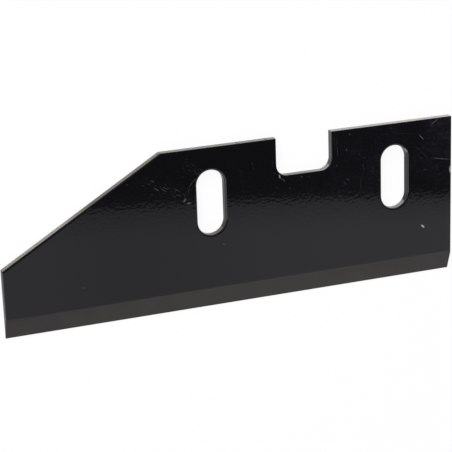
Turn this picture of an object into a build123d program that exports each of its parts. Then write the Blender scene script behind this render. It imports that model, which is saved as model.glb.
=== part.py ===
from build123d import *
import os

# Chopper knife: one flat steel blade for a forage or straw chopper.
# It lies on its flat back. +X runs to the square heel, +Y runs from the cutting edge
# to the slotted back edge, and +Z points out of the ground side.
# The origin is on the seat face, midway between the two bolt slots.

# Blade blank, cut from flat bar, in mm
blade_length = 287.5
blade_width = 100
blade_thickness = 5

# Cutting edge, ground from one side only
bevel_height = 12.5
edge_land = 0.4

# Slanted corner at the toe
slant_run = 98
slant_drop = 57.75

# Bolt slots for M16 bolts, set across the blade
slot_width = 17.5
slot_length = 40
slot_spacing = 120
slot_depth = 34
heel_margin = 39

# Clearance notch in the back edge, midway between the slots
notch_width = 36
notch_depth = 23.5
notch_corner_radius = 7

# Rounding where the press draws in the rims of the slots and of the slanted corner,
# on the ground side
pressed_rim_radius = 1.2

# Rounding that the blasting and the paint leave on the other edges
arris_radius = 0.4

# Positions that follow from the sizes above
heel_x = slot_spacing / 2 + heel_margin
toe_x = heel_x - blade_length
back_y = slot_depth
edge_y = back_y - blade_width
bevel_y = edge_y + bevel_height
slot_xs = (-slot_spacing / 2, slot_spacing / 2)
slant_middle = (toe_x + slant_run / 2, back_y - slant_drop / 2, blade_thickness)


def blade_outline():
    """The blank seen from above: square heel, slanted corner at the toe."""
    return make_face(
        Polyline(
            (toe_x, edge_y),
            (heel_x, edge_y),
            (heel_x, back_y),
            (toe_x + slant_run, back_y),
            (toe_x, back_y - slant_drop),
            close=True,
        )
    )


def bolt_slots():
    """Obround slots, one at each bolt position, lying along Y."""
    slot = SlotOverall(slot_length, slot_width, rotation=90)
    return [Pos(x, 0) * slot for x in slot_xs]


def back_notch():
    """Notch open at the back edge, with rounded inner corners."""
    mouth = notch_depth + notch_corner_radius
    centre_y = back_y - notch_depth + mouth / 2
    recess = Pos(0, centre_y) * Rectangle(notch_width, mouth)
    inner_corners = recess.vertices().sort_by(Axis.Y)[:2]
    return fillet(inner_corners, notch_corner_radius)


def grinding_wedge():
    """What the grinding takes away: the wedge above the bevel, along the whole edge."""
    wedge = make_face(
        Polyline(
            (bevel_y, blade_thickness),
            (edge_y, edge_land),
            (edge_y - bevel_height, edge_land),
            (edge_y - bevel_height, blade_thickness),
            close=True,
        )
    )
    section = Plane(origin=(toe_x, 0, 0), x_dir=(0, 1, 0), z_dir=(1, 0, 0))
    return extrude(section * wedge, amount=blade_length)


def flat_sides(knife):
    """The two flat faces: the seat below, the ground side on top."""
    faces = knife.faces().filter_by(Axis.Z).sort_by(Axis.Z)
    return faces[0], faces[-1]


def pressed_rims(knife):
    """On the ground side, the edges of both slots and of the slanted corner."""
    ground_side = flat_sides(knife)[1]
    slot_edges = [edge for rim in ground_side.inner_wires() for edge in rim.edges()]
    return slot_edges + ground_side.outer_wire().edges().sort_by_distance(slant_middle)[:1]


def arrises(knife):
    """The other edges of both sides, apart from the bevel line and the cutting edge."""
    seat, ground_side = flat_sides(knife)
    round_the_seat = seat.edges().sort_by(Axis.Y)[1:]
    round_the_ground_side = ground_side.outer_wire().edges().sort_by_distance(slant_middle)[1:]
    return round_the_seat + round_the_ground_side.sort_by(Axis.Y)[1:]


def chopper_knife():
    """The whole knife: cut blank, ground bevel, rounded rims and arrises."""
    blank = extrude(blade_outline() - back_notch() - bolt_slots(), amount=blade_thickness)
    knife = blank - grinding_wedge()
    knife = fillet(pressed_rims(knife), pressed_rim_radius)
    return fillet(arrises(knife), arris_radius)


os.makedirs("parts", exist_ok=True)
export_step(chopper_knife(), "parts/chopper_knife.step")
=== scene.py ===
import math
import bpy
from mathutils import Matrix, Vector

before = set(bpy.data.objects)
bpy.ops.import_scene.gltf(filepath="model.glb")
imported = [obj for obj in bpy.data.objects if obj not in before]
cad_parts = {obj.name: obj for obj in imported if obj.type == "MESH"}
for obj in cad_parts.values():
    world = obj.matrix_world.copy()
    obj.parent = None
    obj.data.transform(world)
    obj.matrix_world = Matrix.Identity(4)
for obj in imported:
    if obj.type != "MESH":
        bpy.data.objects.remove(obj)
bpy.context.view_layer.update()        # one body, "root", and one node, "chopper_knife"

# A loose chopper knife in gloss black paint, lying on its flat back.
# +X runs to the square heel, +Y to the slotted back edge, +Z out of the ground side.
mm = 0.001
print("frame loaded:", ", ".join(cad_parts))


# Small helpers for node trees

def newMaterial(name):
    material = bpy.data.materials.new(name)
    material.use_nodes = True
    material.node_tree.nodes.clear()
    return material, material.node_tree


# Each setting goes to the node's input of that name, or else to its property
def addNode(tree, kind, **settings):
    node = tree.nodes.new(kind)
    for key, value in settings.items():
        if key in node.inputs:
            node.inputs[key].default_value = value
        else:
            setattr(node, key, value)
    return node


# Links an output, or a node's first output
def feed(tree, source, target, socket):
    output = source if hasattr(source, "is_linked") else source.outputs[0]
    tree.links.new(output, target.inputs[socket])


# Gives a node its inputs: numbers and colours are set, all else is linked
def fill(tree, node, sockets, values):
    for socket, value in zip(sockets, values):
        if isinstance(value, (int, float, tuple)):
            node.inputs[socket].default_value = value
        else:
            feed(tree, value, node, socket)


def calc(tree, operation, *values):
    node = addNode(tree, "ShaderNodeMath", operation=operation)
    fill(tree, node, (0, 1, 2), values)
    return node.outputs[0]


def vectorCalc(tree, operation, *values):
    node = addNode(tree, "ShaderNodeVectorMath", operation=operation)
    fill(tree, node, (0, 1, 2), values)
    return node.outputs[0]


def product(tree, first, *others):
    for other in others:
        first = calc(tree, "MULTIPLY", first, other)
    return first


# The outputs X, Y and Z of a vector
def apart(tree, vector):
    node = addNode(tree, "ShaderNodeSeparateXYZ")
    feed(tree, vector, node, 0)
    return node.outputs


# A soft step from lowOut to highOut, while the value goes from low to high
def ramp(tree, value, low, high, lowOut=0.0, highOut=1.0):
    node = addNode(tree, "ShaderNodeMapRange", interpolation_type="SMOOTHSTEP")
    fill(tree, node, (0, 1, 2, 3, 4), (value, low, high, lowOut, highOut))
    return node.outputs[0]


# A value read off a line through the points given
def readOff(tree, value, points):
    low, high = points[0][0], points[-1][0]
    top = max(level for spot, level in points)
    node = addNode(tree, "ShaderNodeValToRGB")
    elements = node.color_ramp.elements
    while len(elements) < len(points):
        elements.new(0.5)
    for element, (spot, level) in zip(elements, points):
        element.position = (spot - low) / (high - low)
        element.color = (level / top, level / top, level / top, 1)
    share = calc(tree, "MULTIPLY_ADD", value, 1 / (high - low), -low / (high - low))
    feed(tree, share, node, "Fac")
    return calc(tree, "MULTIPLY", node.outputs["Color"], top)


# Size is how far apart the waves are
def noise(tree, where, size, detail, stretch=(1, 1, 1)):
    mapping = addNode(tree, "ShaderNodeMapping", Scale=[part / size for part in stretch])
    feed(tree, where, mapping, "Vector")
    node = addNode(tree, "ShaderNodeTexNoise", Scale=1.0, Detail=detail)
    feed(tree, mapping, node, "Vector")
    return node.outputs["Fac"]


def blend(tree, share, first, second):
    node = addNode(tree, "ShaderNodeMix", data_type="RGBA")
    fill(tree, node, (0, 6, 7), (share, first, second))      # 6 and 7 are its colours
    return node.outputs[2]


def mixShaders(tree, share, first, second):
    node = addNode(tree, "ShaderNodeMixShader")
    fill(tree, node, (0, 1, 2), (share, first, second))
    return node


def showSurface(tree, shader, kind="ShaderNodeOutputMaterial"):
    feed(tree, shader, addNode(tree, kind), "Surface")


# The camera stands above the toe, on the back edge's side, as in the photograph.
# Spot and aim are in mm, and the lean to one side is in degrees.
cameraPlan = {
    "spot": (-384.5, 292.4, 914.7),
    "aim": (-49.6, -17.3, 0.0),
    "lens": 135.8,
    "lean": 2.0,
}


def placeCamera(plan):
    data = bpy.data.cameras.new("photoCamera")
    data.lens = plan["lens"]
    camera = bpy.data.objects.new("photoCamera", data)
    bpy.context.scene.collection.objects.link(camera)
    spot = Vector(plan["spot"]) * mm
    forward = (Vector(plan["aim"]) * mm - spot).normalized()
    right = forward.cross(Vector((0, 1, 0))).normalized()
    right.rotate(Matrix.Rotation(math.radians(plan["lean"]), 3, forward))
    up = right.cross(forward)
    turn = Matrix((right, up, -forward)).transposed().to_4x4()
    camera.matrix_world = Matrix.Translation(spot) @ turn
    bpy.context.scene.camera = camera


placeCamera(cameraPlan)
print("camera placed")


# Pale studio, in metres: floor, even world, one soft lamp, and cards that the gloss mirrors
studio = {
    "floorSize": 60.0,
    "floorGap": 0.0001,                  # keeps it off the seat face, so that neither flickers
    "floorColour": (0.93, 0.93, 0.93, 1),
    "floorShare": 0.93,                  # how much of what the camera sees of it is plain white
    "whiteGlow": 1.0,
    "worldStrength": 0.75,
}

keyLamp = {"spot": (-1.5, 2.0, 1.4), "aim": (0, 0, 0), "size": 1.6, "watts": 110}

# What hangs over the knife: a dark card, and a grey card that starts along a soft, bowed line
overhead = {
    "height": 2.0,
    "width": 6.0,
    "depth": 5.0,
    "lineAtOrigin": -0.577,              # where the line passes x = 0, towards the cutting edge
    "lineSlope": -0.0987,
    "lineBow": 0.040,
    "bowMiddle": 0.80,
    "straightUpTo": 0.3,                 # the line bows from this x on
    "darkGlow": 0.026,
    "greyGlow": 0.64,
    "farGlow": 1.0,                      # at its far edge
    "farEdge": (-2.3, -1.2),             # the ys between which the glow changes from far to grey
    # from the dark card to the grey one, by how far past the line
    "overLine": [(-0.030, 0.0), (-0.012, 0.04), (-0.003, 0.10), (0.003, 0.58), (0.012, 0.70),
                 (0.028, 0.82), (0.042, 0.92), (0.060, 1.0)],
    # the grey card's shares along x: bright past the toe, dim over it
    "alongX": [(-1.0, 2.6), (0.05, 0.95), (0.20, 0.90), (0.32, 0.88), (0.47, 0.79), (0.60, 0.84),
               (0.75, 0.95), (0.95, 1.0)],
    "greyColour": (0.97, 0.97, 1.04, 1),
    "fadeFrom": 2.0,                     # both ends fade into the white world from here on
}

# A dark flag behind the camera, there only for what the gloss mirrors
backFlag = {
    "width": 3.0,
    "tall": 1.9,
    "softSide": 0.7,                     # how far in from both ends it fades out
    "place": (-1.4, 2.5, 1.05),
    "turn": (90, 0, 0),
}


# The rays for which floor and world are plain white
def seenRay(tree):
    path = addNode(tree, "ShaderNodeLightPath").outputs
    seen = calc(tree, "MAXIMUM", path["Is Camera Ray"], path["Is Transmission Ray"])
    return calc(tree, "MAXIMUM", seen, path["Is Glossy Ray"])


def flatPanel(name, width, depth, place, material):
    mesh = bpy.data.meshes.new(name)
    x, y = width / 2, depth / 2
    mesh.from_pydata([(-x, -y, 0), (x, -y, 0), (x, y, 0), (-x, y, 0)], [], [(0, 1, 2, 3)])
    panel = bpy.data.objects.new(name, mesh)
    panel.location = place
    panel.data.materials.append(material)
    bpy.context.scene.collection.objects.link(panel)
    return panel


def floorMaterial():
    material, tree = newMaterial("paleFloor")
    paper = addNode(tree, "ShaderNodeBsdfDiffuse", Color=studio["floorColour"])
    white = addNode(tree, "ShaderNodeEmission", Strength=studio["whiteGlow"])
    share = calc(tree, "MULTIPLY", seenRay(tree), studio["floorShare"])
    lit = mixShaders(tree, share, paper, white)
    # from below the floor isn't there, so that the seat face can be looked at
    side = addNode(tree, "ShaderNodeNewGeometry")
    clear = addNode(tree, "ShaderNodeBsdfTransparent")
    showSurface(tree, mixShaders(tree, side.outputs["Backfacing"], lit, clear))
    return material


def addFloor():
    size = studio["floorSize"]
    flatPanel("floor", size, size, (0, 0, -studio["floorGap"]), floorMaterial())


def overheadMaterial():
    material, tree = newMaterial("overheadCards")
    place = apart(tree, addNode(tree, "ShaderNodeTexCoord").outputs["Object"])
    x, y = place["X"], place["Y"]
    straight = calc(tree, "MULTIPLY_ADD", x, overhead["lineSlope"], overhead["lineAtOrigin"])
    bowed = calc(tree, "MAXIMUM", x, overhead["straightUpTo"])
    fromMiddle = calc(tree, "SUBTRACT", bowed, overhead["bowMiddle"])
    bow = product(tree, fromMiddle, fromMiddle, overhead["lineBow"])
    past = calc(tree, "SUBTRACT", calc(tree, "SUBTRACT", straight, bow), y)
    farSide = ramp(tree, y, *overhead["farEdge"], overhead["farGlow"], overhead["greyGlow"])
    level = product(tree, readOff(tree, x, overhead["alongX"]), farSide,
                    readOff(tree, past, overhead["overLine"]))
    level = calc(tree, "ADD", level, overhead["darkGlow"])
    ends = ramp(tree, calc(tree, "ABSOLUTE", x), overhead["fadeFrom"], overhead["width"] / 2)
    glow = addNode(tree, "ShaderNodeEmission", Color=overhead["greyColour"])
    feed(tree, calc(tree, "MAXIMUM", level, ends), glow, "Strength")
    showSurface(tree, glow)
    return material


def addOverhead():
    cards = flatPanel("overheadCards", overhead["width"], overhead["depth"],
                      (0, 0, overhead["height"]), overheadMaterial())
    cards.visible_camera = False


def flagMaterial():
    material, tree = newMaterial("backFlag")
    glow = addNode(tree, "ShaderNodeEmission", Color=overhead["greyColour"],
                   Strength=overhead["darkGlow"])
    clear = addNode(tree, "ShaderNodeBsdfTransparent")
    place = apart(tree, addNode(tree, "ShaderNodeTexCoord").outputs["Object"])
    end = backFlag["width"] / 2
    faded = ramp(tree, calc(tree, "ABSOLUTE", place["X"]), end - backFlag["softSide"], end)
    showSurface(tree, mixShaders(tree, faded, glow, clear))
    return material


def addFlag():
    flag = flatPanel("backFlag", backFlag["width"], backFlag["tall"], backFlag["place"],
                     flagMaterial())
    flag.rotation_euler = [math.radians(angle) for angle in backFlag["turn"]]
    flag.visible_camera = flag.visible_diffuse = False
    flag.visible_shadow = flag.visible_transmission = False


def setWorld():
    world = bpy.data.worlds.new("studioWorld")
    bpy.context.scene.world = world
    world.use_nodes = True
    tree = world.node_tree
    tree.nodes.clear()
    dim = addNode(tree, "ShaderNodeBackground", Strength=studio["worldStrength"])
    white = addNode(tree, "ShaderNodeBackground", Strength=studio["whiteGlow"])
    showSurface(tree, mixShaders(tree, seenRay(tree), dim, white), "ShaderNodeOutputWorld")


def addLamp(name, plan):
    data = bpy.data.lights.new(name, "AREA")
    data.size = plan["size"]
    data.energy = plan["watts"]
    lamp = bpy.data.objects.new(name, data)
    bpy.context.scene.collection.objects.link(lamp)
    lamp.location = plan["spot"]
    towards = Vector(plan["aim"]) - lamp.location
    lamp.rotation_euler = towards.to_track_quat("-Z", "Y").to_euler()
    lamp.visible_camera = lamp.visible_glossy = False


addFloor()
addOverhead()
addFlag()
setWorld()
addLamp("keyLamp", keyLamp)
bpy.context.scene.view_settings.view_transform = "Standard"
print("studio set")


# Gloss black paint over cut and ground steel. Lengths are in mm.
paint = {
    "colour": (0.0037, 0.0037, 0.0042, 1),
    "hazeColour": (0.0115, 0.0109, 0.0165, 1),   # fine scuffs, most of them round the heel slot
    "rubbedColour": (0.075, 0.075, 0.080, 1),    # where a scratch has broken the gloss
    "bevelColour": (0.0165, 0.0135, 0.0095, 1),  # thinner, warmer paint on the ground bevel
    "bevelTint": (0.0115, 0.0050, 0.0035, 1),    # and the redder patches in it
    "rimColour": (0.0120, 0.0095, 0.0075, 1),    # the same on the rims
    "wallHighlightColour": (0.46, 0.435, 0.405, 1),       # painted highlight: pale colour for the light caught by the cut walls that face the back edge
    # steel at the chips, and the colour of the painted highlights at the small dent
    "steelAndHighlightColour": (0.62, 0.61, 0.59, 1),
    "shine": 0.5,
    "gloss": 0.022,
    "hazeGloss": 0.14,
    "rubbedGloss": 0.36,
    "peelHeight": 0.0082,
    "wavesHeight": 0.0030,
    "scratchDepth": 0.03,
    "chipDepth": 0.06,
    "creaseAt": -53.5,                           # the bevel line, softened by the paint
    "creaseReach": 1.6,
    "creaseSlope": 0.368,
    "raggedScale": 2.2,                          # marks are a little ragged at their sides
    "raggedShift": 0.5,

    # noises: how far apart the waves are, how much fine detail they have, and any stretch
    "peel": (2.4, 1.0, (0.95, 1.3, 1.0)),        # orange peel
    "waves": (8.0, 2.0),
    "cloud": (15.0, 3.0),
    "grain": (1.9, 4.0),
    "specks": (1.1, 2.0),
    "drag": (1.3, 3.0, (1.0, 1.0, 0.12)),        # upright lines on the walls
    "mottle": (24.0, 3.0),
    "tint": (45.0, 2.0),

    # soft steps: what is measured goes from the first number to the second, and the share from
    # the third to the fourth, or from 0 to 1 where they aren't given
    "cloudShare": (0.26, 0.76, 0.25, 1.0),       # by those noises
    "grainShare": (0.30, 0.78, 0.22, 0.90),
    "speckShare": (0.50, 0.72),
    "dragShare": (0.30, 0.70, 0.82, 1.0),
    "mottleShare": (0.30, 0.70, 0.5, 1.0),
    "tintShare": (0.42, 0.62),
    "heelWarmth": (93.0, 100.0, 0.0, 0.40),      # by x
    "hazeToBack": (-16.0, 8.0, 0.12, 1.0),       # by y
    "highlightToBack": (-18.0, 8.0, 0.6, 1.0),        # by y: the painted highlight on those walls, weaker towards the cutting edge
    "markHeight": (3.5, 3.9),                    # by z: marks are on the ground side only
    "creaseHeight": (2.5, 3.0),                  # by z
    "facesBack": (0.50, 0.70),                   # by the y of the surface's normal
    "facesEdge": (-0.32, -0.20, 1.0, 0.0),       # by its y
    "facesUp": (0.80, 0.90),                     # by its z, as are those below
    "notUp": (0.75, 0.92, 1.0, 0.0),
    "notSideways": (0.05, 0.25),
    "upright": (0.10, 0.45, 1.0, 0.0),
    "notDown": (-0.9, -0.5),
    "flatness": (0.05, 0.35),                    # whichever way up
}

# How thick the fine scuffs lie, by x
hazeAlong = [(-188.5, 0.12), (-20, 0.14), (12, 0.45), (45, 0.80), (72, 0.80), (92, 1.5),
             (99, 1.5)]

# Patches of them, as x and y of both ends, half width and level
hazePatches = [
    (-102.0, 19.0, -74.0, 5.0, 9.0, 0.85), (-75.5, 26.5, -68.0, 18.0, 4.5, 1.60),
    (-80.0, 8.0, -74.0, 4.0, 3.5, 1.30), (-44.0, 15.0, -36.0, 9.0, 7.0, 0.40),
]

# How strong the painted highlight is on the cut walls that face the back edge, by x
wallHighlightAlong = [(-188.5, 0.52), (-171, 0.55), (-152, 0.42), (-134, 0.10), (-115, 0.22),
            (-98, 0.20), (-84, 0.26), (0, 0.28), (50, 0.64), (99, 0.76)]

# How much the cut walls shine, by x: dullest at the toe's own end
wallShine = [(-188.5, 0.03), (-180, 0.14), (-5, 0.14), (12, 0.33), (24, 0.33), (40, 0.14),
             (99, 0.14)]

# Dark spots on the back edge, left out of the painted highlight, as x and y of both ends, half
# width and level
darkSpotsOnBackEdge = [
    (-42.1, 34.0, -41.5, 34.0, 0.90, 0.75), (-24.2, 34.0, -23.6, 34.0, 0.90, 0.80),
]

# Marks on the ground side: x and y of both ends, half width, and how far the gloss is broken
scuffsByToeSlot = [
    (-96.9, 18.5, -95.0, 17.3, 0.45, 0.34), (-95.1, 13.8, -92.5, 11.8, 0.45, 0.41),
    (-91.6, 13.3, -87.2, 10.2, 0.22, 0.35), (-90.0, 13.6, -86.7, 11.9, 0.22, 0.35),
    (-82.4, 11.6, -79.4, 9.2, 0.30, 0.28), (-81.9, 8.0, -78.9, 6.8, 0.35, 0.22),
    (-99.8, 20.6, -99.2, 19.9, 0.40, 0.09), (-98.8, 16.8, -97.9, 16.4, 0.40, 0.20),
    (-102.5, 16.1, -100.7, 15.9, 0.45, 0.11), (-97.0, 9.9, -96.1, 9.5, 0.40, 0.10),
    (-85.0, 8.6, -82.0, 5.7, 0.45, 0.09), (-77.0, 7.5, -76.4, 6.5, 0.45, 0.16),
    (-69.1, 16.2, -71.5, 14.3, 0.25, 0.40), (-71.5, 14.3, -73.5, 11.6, 0.22, 0.60),
    (-73.5, 11.6, -74.4, 7.1, 0.16, 0.38), (-74.4, 24.8, -74.0, 24.3, 0.55, 0.19),
    (-70.7, 24.6, -70.1, 24.2, 0.55, 0.12), (-69.6, 20.8, -68.9, 18.3, 0.50, 0.17),
    (-80.7, 22.0, -80.1, 21.6, 0.50, 0.08), (-77.4, 18.2, -76.9, 17.8, 0.50, 0.09),
    (-66.3, 21.6, -64.9, 19.6, 0.18, 0.30), (-111.8, 18.1, -111.2, 17.7, 0.60, 0.14),
]
scuffsBesideNotch = [
    (-33.8, 21.1, -33.4, 20.4, 0.60, 0.15), (-32.9, 18.2, -32.6, 17.2, 0.50, 0.12),
    (-41.4, 17.5, -40.8, 17.1, 0.60, 0.06), (-40.4, 7.7, -40.2, 7.1, 0.50, 0.07),
    (-2.3, 8.4, -1.5, 7.9, 0.50, 0.21), (2.9, 7.6, 3.8, 7.1, 0.50, 0.09),
    (-9.6, 2.3, -9.3, 1.8, 0.50, 0.11), (-19.0, 3.9, -17.7, 3.3, 0.50, 0.07),
    (-20.7, 21.2, -20.3, 16.8, 0.20, 0.16), (-20.1, 13.7, -19.4, 12.1, 0.22, 0.25),
    (-16.0, 9.6, -13.9, 8.1, 0.22, 0.45), (19.9, 32.8, 20.0, 22.2, 0.16, 0.22),
    (21.3, 32.7, 21.7, 20.8, 0.14, 0.25), (21.9, 24.5, 21.9, 17.0, 0.16, 0.38),
]
scuffsByHeelSlot = [
    (29.6, 31.0, 30.7, 30.5, 0.40, 0.50), (27.7, 21.7, 28.1, 20.9, 0.60, 0.33),
    (21.1, 12.7, 21.4, 11.8, 0.50, 0.24), (38.5, 11.4, 39.1, 8.5, 0.30, 0.22),
    (39.4, 7.8, 39.8, 7.1, 0.50, 0.16), (36.1, 17.9, 36.8, 17.4, 0.50, 0.14),
    (38.8, 15.1, 40.4, 14.6, 0.50, 0.17), (28.0, 3.0, 29.0, 2.0, 0.60, 0.19),
    (26.3, 1.0, 27.0, -0.1, 0.45, 0.22), (37.0, 3.0, 37.4, -6.5, 0.20, 0.19),
    (78.1, 9.8, 78.7, 9.3, 0.60, 0.16), (79.5, 2.0, 81.6, 2.0, 0.40, 0.16),
    (76.7, 24.9, 80.0, 21.2, 0.35, 1.00), (84.7, 29.7, 90.1, 33.7, 0.32, 0.75),
    (85.0, 8.9, 98.9, 6.2, 0.32, 0.55), (73.6, 17.7, 78.1, 14.3, 0.25, 0.15),
    (78.1, 14.3, 83.3, 8.1, 0.25, 0.18), (67.7, 24.1, 66.6, 20.5, 0.25, 0.18),
    (59.7, 27.7, 74.7, 25.7, 0.25, 0.13), (58.4, 24.6, 66.5, 23.1, 0.25, 0.11),
    (57.3, 31.4, 58.1, 31.2, 0.60, 0.20),
]
specksLowDown = [
    (-53.4, -26.7, -52.9, -27.2, 0.50, 1.00), (-141.6, -40.5, -140.9, -41.0, 0.60, 0.30),
]

# Chips that go down to the steel, and two faint pale blobs near x -76, y 3 that are painted
# highlights on the rim of a small dent
chipsAndDentHighlights = [
    (66.9, 17.2, 68.7, 14.8, 0.60, 0.30), (98.5, 1.7, 98.5, -1.8, 0.95, 0.55),
    (78.6, -33.8, 80.1, -35.2, 0.75, 0.62), (-16.4, 11.2, -16.0, 9.6, 0.60, 0.35),
    (-13.9, 8.1, -13.2, 7.1, 0.50, 0.06), (-77.4, 3.0, -76.0, 4.4, 0.65, 0.13),
    (-75.2, 1.6, -72.9, 1.7, 0.55, 0.15),
]


# A mark is a long drop: strongest in its middle, gone at its half width and past its ends
def allMarks(tree, place, marks):
    strongest = 0.0
    for startX, startY, endX, endY, halfWidth, level in marks:
        runX, runY = endX - startX, endY - startY
        run = math.hypot(runX, runY)
        sides = []
        for sideX, sideY, reach in ((runX / run, runY / run, run / 2 + halfWidth),
                                    (-runY / run, runX / run, halfWidth)):
            middle = (sideX * (startX + endX) + sideY * (startY + endY)) / 2
            part = calc(tree, "MULTIPLY_ADD", place["Y"], sideY / reach, -middle / reach)
            sides.append(calc(tree, "MULTIPLY_ADD", place["X"], sideX / reach, part))
        along, across = sides
        away = calc(tree, "MULTIPLY_ADD", across, across, calc(tree, "MULTIPLY", along, along))
        here = calc(tree, "MULTIPLY_ADD", away, -level, level)
        strongest = calc(tree, "MAXIMUM", strongest, here)
    return calc(tree, "MINIMUM", strongest, 1.0)


# Where marks are looked up: the place itself, pushed about a little
def raggedPlace(tree, place):
    push = addNode(tree, "ShaderNodeTexNoise", Scale=paint["raggedScale"], Detail=2.0)
    feed(tree, place, push, "Vector")
    push = vectorCalc(tree, "SUBTRACT", push.outputs["Color"], (0.5, 0.5, 0.5))
    return vectorCalc(tree, "MULTIPLY_ADD", push, (paint["raggedShift"],) * 3, place)


# Fine scuffs, everywhere but on the seat: thicker towards the heel and the back edge
def hazeShare(tree, place, spot, marked, facing):
    cloud = ramp(tree, noise(tree, place, *paint["cloud"]), *paint["cloudShare"])
    grain = ramp(tree, noise(tree, place, *paint["grain"]), *paint["grainShare"])
    toHeel = readOff(tree, spot["X"], hazeAlong)
    toBack = ramp(tree, spot["Y"], *paint["hazeToBack"])
    haze = product(tree, cloud, toHeel, toBack, grain)
    specks = ramp(tree, noise(tree, place, *paint["specks"]), *paint["speckShare"])
    specks = calc(tree, "MULTIPLY", allMarks(tree, marked, hazePatches), specks)
    notSeat = ramp(tree, facing["Z"], *paint["notDown"])
    return calc(tree, "MULTIPLY", calc(tree, "MAXIMUM", haze, specks), notSeat)


# Painted highlight: cut walls that face the back edge get a pale colour for the light they
# catch, apart from a few dark spots
def wallHighlightShare(tree, place, spot, marked, facing):
    backward = ramp(tree, facing["Y"], *paint["facesBack"])
    upright = ramp(tree, facing["Z"], *paint["upright"])
    drag = ramp(tree, noise(tree, place, *paint["drag"]), *paint["dragShare"])
    lowDown = ramp(tree, spot["Y"], *paint["highlightToBack"])
    spotless = calc(tree, "SUBTRACT", 1.0, allMarks(tree, marked, darkSpotsOnBackEdge))
    highlightLevel = product(tree, readOff(tree, spot["X"], wallHighlightAlong), drag, lowDown, spotless)
    return product(tree, backward, upright, highlightLevel)


# Thin paint on the ground bevel, thicker in places
def bevelShare(tree, place, facing):
    onBevel = ramp(tree, facing["Y"], *paint["facesEdge"])
    mottled = ramp(tree, noise(tree, place, *paint["mottle"]), *paint["mottleShare"])
    return product(tree, onBevel, mottled, ramp(tree, facing["Z"], *paint["facesUp"]))


# Thin paint on the rims, and a little at the heel's end
def rimShare(tree, spot, facing):
    onRim = product(tree, ramp(tree, facing["Z"], *paint["notSideways"]),
                    ramp(tree, facing["Z"], *paint["notUp"]))
    return calc(tree, "MAXIMUM", onRim, ramp(tree, spot["X"], *paint["heelWarmth"]))


# Relief in mm: orange peel, longer waves, scratches and chips, and the soft bevel line
def paintRelief(tree, place, spot, rubbed, chipAndHighlightShare):
    relief = calc(tree, "MULTIPLY", noise(tree, place, *paint["peel"]), paint["peelHeight"])
    waves = noise(tree, place, *paint["waves"])
    relief = calc(tree, "MULTIPLY_ADD", waves, paint["wavesHeight"], relief)
    relief = calc(tree, "MULTIPLY_ADD", rubbed, -paint["scratchDepth"], relief)
    relief = calc(tree, "MULTIPLY_ADD", chipAndHighlightShare, -paint["chipDepth"], relief)
    reach = paint["creaseReach"]
    fromCrease = calc(tree, "ABSOLUTE", calc(tree, "SUBTRACT", spot["Y"], paint["creaseAt"]))
    within = calc(tree, "MAXIMUM", calc(tree, "SUBTRACT", reach, fromCrease), 0.0)
    bend = paint["creaseSlope"] / (4 * reach)    # of the parabola that joins both slopes
    onTop = ramp(tree, spot["Z"], *paint["creaseHeight"], 0.0, bend)
    return calc(tree, "SUBTRACT", relief, product(tree, within, within, onTop))


def blackPaint():
    material, tree = newMaterial("blackPaint")
    coordinates = addNode(tree, "ShaderNodeTexCoord").outputs
    place = vectorCalc(tree, "MULTIPLY", coordinates["Object"], (1 / mm,) * 3)
    spot = apart(tree, place)
    facing = apart(tree, coordinates["Normal"])
    marked = apart(tree, raggedPlace(tree, place))

    scuffs = scuffsByToeSlot + scuffsBesideNotch + scuffsByHeelSlot + specksLowDown
    onTop = ramp(tree, spot["Z"], *paint["markHeight"])
    rubbed = calc(tree, "MULTIPLY", allMarks(tree, marked, scuffs), onTop)
    chipAndHighlightShare = calc(tree, "MULTIPLY", allMarks(tree, marked, chipsAndDentHighlights), onTop)
    haze = hazeShare(tree, place, spot, marked, facing)
    wallHighlight = wallHighlightShare(tree, place, spot, marked, facing)

    redder = ramp(tree, noise(tree, place, *paint["tint"]), *paint["tintShare"])
    bevelPaint = blend(tree, redder, paint["bevelColour"], paint["bevelTint"])
    colour = blend(tree, haze, paint["colour"], paint["hazeColour"])
    colour = blend(tree, bevelShare(tree, place, facing), colour, bevelPaint)
    colour = blend(tree, rimShare(tree, spot, facing), colour, paint["rimColour"])
    # painted highlight: pale colour on the cut walls that face the back edge
    colour = blend(tree, wallHighlight, colour, paint["wallHighlightColour"])
    colour = blend(tree, rubbed, colour, paint["rubbedColour"])
    # steel at the chips, and painted highlights at the small dent near x -76, y 3
    colour = blend(tree, chipAndHighlightShare, colour, paint["steelAndHighlightColour"])

    gloss = ramp(tree, haze, 0.0, 1.0, paint["gloss"], paint["hazeGloss"])
    glossBroken = calc(tree, "MAXIMUM", calc(tree, "MAXIMUM", rubbed, chipAndHighlightShare), wallHighlight)
    gloss = calc(tree, "MULTIPLY_ADD", glossBroken, paint["rubbedGloss"], gloss)

    level = calc(tree, "ABSOLUTE", facing["Z"])
    shine = ramp(tree, level, *paint["flatness"], 0.0, paint["shine"])
    shine = calc(tree, "MAXIMUM", shine, readOff(tree, spot["X"], wallShine))

    bump = addNode(tree, "ShaderNodeBump", Strength=1.0, Distance=mm)
    feed(tree, paintRelief(tree, place, spot, rubbed, chipAndHighlightShare), bump, "Height")

    shader = addNode(tree, "ShaderNodeBsdfPrincipled")
    feed(tree, colour, shader, "Base Color")
    feed(tree, gloss, shader, "Roughness")
    feed(tree, shine, shader, "Specular IOR Level")
    feed(tree, bump, shader, "Normal")
    showSurface(tree, shader)
    return material


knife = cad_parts["chopper_knife"]
knife.data.materials.clear()
knife.data.materials.append(blackPaint())
print("paint on the knife")
